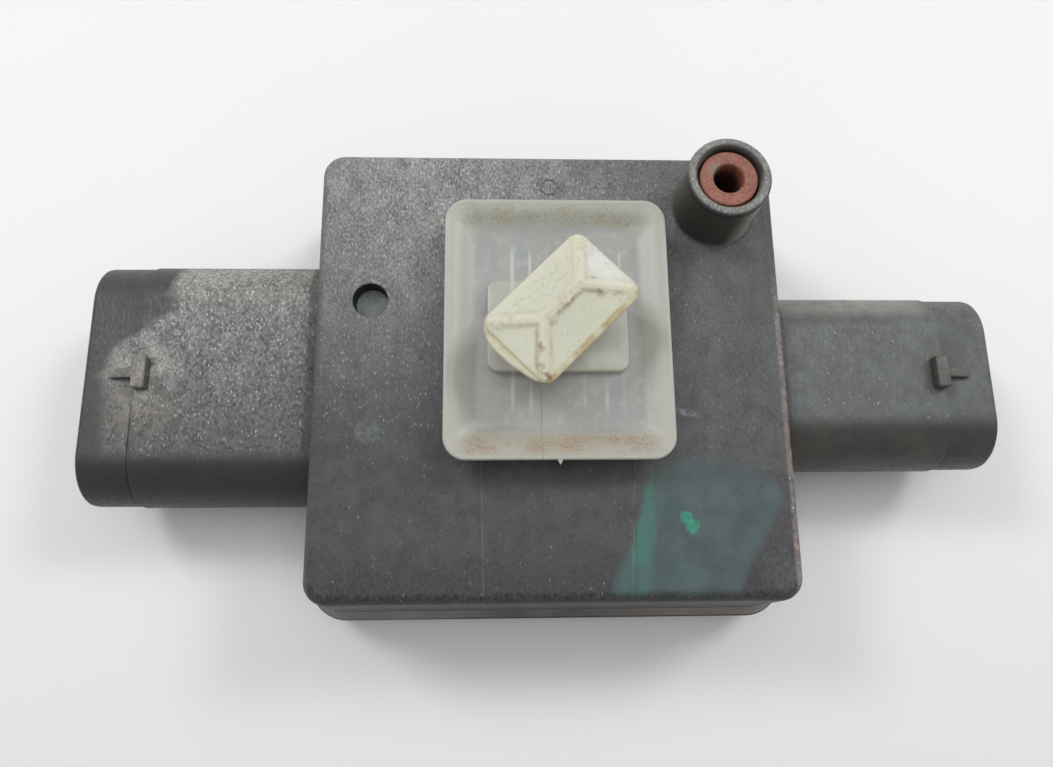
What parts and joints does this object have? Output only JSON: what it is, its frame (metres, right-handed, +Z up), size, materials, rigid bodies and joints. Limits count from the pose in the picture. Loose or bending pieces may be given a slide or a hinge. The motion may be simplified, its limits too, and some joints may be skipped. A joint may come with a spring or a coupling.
{
  "type": "sealed sensor module with two plug sockets",
  "caption": "Worn grey plastic sensor module with a wide and a narrow plug socket, a port tube with a red seal, and a milky clip that slides on a rail",
  "frame": {"origin": "Middle of the cover's flat underside, below the middle of the housing's top face.", "axes": "+X points to the narrow socket, -Y to the open end of the clip rail, where the clip slides off, and +Z up through the clip and the port tube."},
  "size_m": [0.104, 0.0544, 0.0318],
  "materials": {
    "housing_plastic": "dusty, speckled glass-filled grey moulding with scuffed edges and a green paint smear",
    "socket_plastic": "dusty glass-filled grey moulding, smoother and darker at the collar",
    "clip_nylon": "translucent milky moulding with brown dirt along its edges",
    "port_rubber": "matt brick-red silicone",
    "cover_plastic": "fine matt texture",
    "seal_rubber": "matt black",
    "board_laminate": "green solder mask",
    "capsule_metal": "drawn can",
    "pin_metal": "tin plated",
    "screw_steel": "zinc plated",
    "package_plastic": "moulded epoxy",
    "can_metal": "drawn can",
    "ferrite_core": "pressed ferrite"
  },
  "bodies": {
    "case": {"housing": "housing_plastic", "left_socket": "socket_plastic", "right_socket": "socket_plastic", "port_seal": "port_rubber", "bottom_cover": "cover_plastic", "cover_seal": "seal_rubber", "circuit_board": "board_laminate", "sensing_capsule": "capsule_metal", "capsule_gasket": "seal_rubber", "left_pin_1": "pin_metal", "left_pin_2": "pin_metal", "left_pin_3": "pin_metal", "left_pin_4": "pin_metal", "left_pin_5": "pin_metal", "left_pin_6": "pin_metal", "right_pin_1": "pin_metal", "right_pin_2": "pin_metal", "right_pin_3": "pin_metal", "right_pin_4": "pin_metal", "board_screw_1": "screw_steel", "board_screw_2": "screw_steel", "board_screw_3": "screw_steel", "board_screw_4": "screw_steel", "processor_chip": "package_plastic", "driver_chip": "package_plastic", "protection_diode": "package_plastic", "clock_crystal": "can_metal", "storage_capacitor": "can_metal", "drive_transformer": "ferrite_core", "filter_inductor": "ferrite_core"},
    "clip": {"mounting_clip": "clip_nylon"}
  },
  "joints": [
    {"name": "clip_slide", "type": "slide", "parent": "case", "child": "clip", "axis": [0, -1, 0], "range_m": [0, 0.018]}
  ]
}
